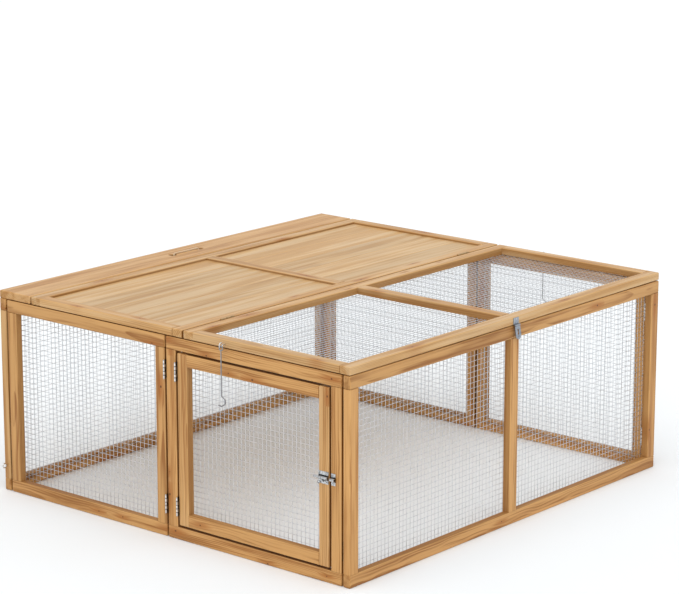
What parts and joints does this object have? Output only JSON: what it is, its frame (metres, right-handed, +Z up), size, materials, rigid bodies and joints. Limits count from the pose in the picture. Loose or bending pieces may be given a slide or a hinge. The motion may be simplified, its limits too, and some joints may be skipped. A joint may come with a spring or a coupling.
{
  "type": "folding chicken run",
  "caption": "Low folding pen of pine battens and welded wire net, with side panels that fold, a hinged door with bolt, boarded and net lids, hooks and a rope handle.",
  "frame": {"origin": "on the ground under the middle of the pen", "axes": "+X along the long walls towards the side without a door, +Y from the front wall to the rear wall, +Z up"},
  "size_m": [1.2212, 1.1106, 0.5045],
  "materials": {
    "pine": "planed, clear oil",
    "wire_net": "galvanised",
    "zinc": "bright zinc plate",
    "rope": "twisted cotton"
  },
  "bodies": {
    "rear_wall": {"rear_rails": "pine", "rear_stiles": "pine", "rear_mid_post": "pine", "rear_net": "wire_net", "top_plank": "pine", "carry_rope": "rope", "rear_eyes": "zinc", "rear_hinge_leaves": "zinc", "rear_hinge_pins": "zinc"},
    "left_rear_panel": {"left_rear_rails": "pine", "left_rear_stiles": "pine", "left_rear_net": "wire_net", "left_rear_hinge_leaves": "zinc", "left_rear_hinge_pins": "zinc"},
    "left_front_panel": {"left_front_rails": "pine", "left_front_stiles": "pine", "left_front_hinge_leaves": "zinc", "left_front_hinge_pins": "zinc", "bolt_keeper": "zinc", "keeper_screws": "zinc"},
    "front_wall": {"front_rails": "pine", "front_stiles": "pine", "front_mid_post": "pine", "front_net": "wire_net", "front_hinge_leaves": "zinc", "hasp_staple": "zinc"},
    "right_rear_panel": {"right_rear_rails": "pine", "right_rear_stiles": "pine", "right_rear_net": "wire_net", "right_rear_hinge_leaves": "zinc", "right_rear_hinge_pins": "zinc"},
    "right_front_panel": {"right_front_rails": "pine", "right_front_stiles": "pine", "right_front_net": "wire_net", "right_front_hinge_leaves": "zinc", "right_front_hinge_pins": "zinc"},
    "door": {"door_stiles": "pine", "door_rails": "pine", "door_net": "wire_net", "door_hinge_leaves": "zinc", "bolt_base": "zinc", "bolt_screws": "zinc"},
    "door_bolt": {"door_bolt": "zinc"},
    "boarded_lid": {"solid_lid_long_rails": "pine", "solid_lid_cross_rails": "pine", "solid_lid_boards": "pine", "solid_lid_hinge_leaves": "zinc", "solid_lid_hinge_pins": "zinc"},
    "net_lid": {"mesh_lid_long_rails": "pine", "mesh_lid_cross_rails": "pine", "mesh_lid_net": "wire_net", "mesh_lid_hinge_leaves": "zinc", "hasp_leaf": "zinc", "hasp_pin": "zinc", "hasp_screws": "zinc", "lid_eyes": "zinc"},
    "hasp_strap": {"hasp_strap": "zinc"},
    "left_hook": {"left_hook": "zinc"},
    "right_hook": {"right_hook": "zinc"}
  },
  "joints": [
    {"name": "wall_fold", "type": "hinge", "parent": "rear_wall", "child": "left_rear_panel", "pos_m": [-0.5656, 0.5276, 0.24], "axis": [0, 0, -1], "range_deg": [-90, 0]},
    {"name": "left_fold", "type": "hinge", "parent": "left_rear_panel", "child": "left_front_panel", "pos_m": [-0.5944, 0, 0.24], "axis": [0, 0, -1], "range_deg": [0, 180]},
    {"name": "front_left_corner", "type": "hinge", "parent": "left_front_panel", "child": "front_wall", "pos_m": [-0.5656, -0.5276, 0.24], "axis": [0, 0, -1], "range_deg": [-90, 0]},
    {"name": "rear_right_corner", "type": "hinge", "parent": "rear_wall", "child": "right_rear_panel", "pos_m": [0.5656, 0.5276, 0.24], "axis": [0, 0, 1], "range_deg": [-90, 0]},
    {"name": "right_fold", "type": "hinge", "parent": "right_rear_panel", "child": "right_front_panel", "pos_m": [0.5944, 0, 0.24], "axis": [0, 0, 1], "range_deg": [0, 180]},
    {"name": "door_swing", "type": "hinge", "parent": "left_front_panel", "child": "door", "pos_m": [-0.5944, -0.0348, 0.24], "axis": [0, 0, -1], "range_deg": [0, 90]},
    {"name": "bolt_throw", "type": "slide", "parent": "door", "child": "door_bolt", "axis": [0, -1, 0], "range_m": [0, 0.014]},
    {"name": "boarded_lid_lift", "type": "hinge", "parent": "rear_wall", "child": "boarded_lid", "pos_m": [0, 0.4426, 0.4834], "axis": [-1, 0, 0], "range_deg": [0, 8]},
    {"name": "net_lid_turn", "type": "hinge", "parent": "boarded_lid", "child": "net_lid", "pos_m": [0, -0.0549, 0.5004], "axis": [1, 0, 0], "range_deg": [-180, 0]},
    {"name": "hasp_swing", "type": "hinge", "parent": "net_lid", "child": "hasp_strap", "pos_m": [0, -0.5542, 0.4806], "axis": [-1, 0, 0], "range_deg": [-15, 160]},
    {"name": "left_hook_flip", "type": "hinge", "parent": "net_lid", "child": "left_hook", "pos_m": [-0.604, -0.187, 0.4905], "axis": [0, 1, 0], "range_deg": [0, 207]},
    {"name": "right_hook_swing", "type": "hinge", "parent": "net_lid", "child": "right_hook", "pos_m": [0.604, -0.187, 0.4834], "axis": [1, 0, 0], "range_deg": [-90, 90]}
  ],
  "couplings": [
    {"joint": "left_fold", "follows": "wall_fold", "ratio": -2},
    {"joint": "front_left_corner", "follows": "wall_fold", "ratio": 1},
    {"joint": "rear_right_corner", "follows": "wall_fold", "ratio": 1},
    {"joint": "right_fold", "follows": "wall_fold", "ratio": -2},
    {"joint": "left_hook_flip", "follows": "door_swing", "ratio": 2.3}
  ]
}
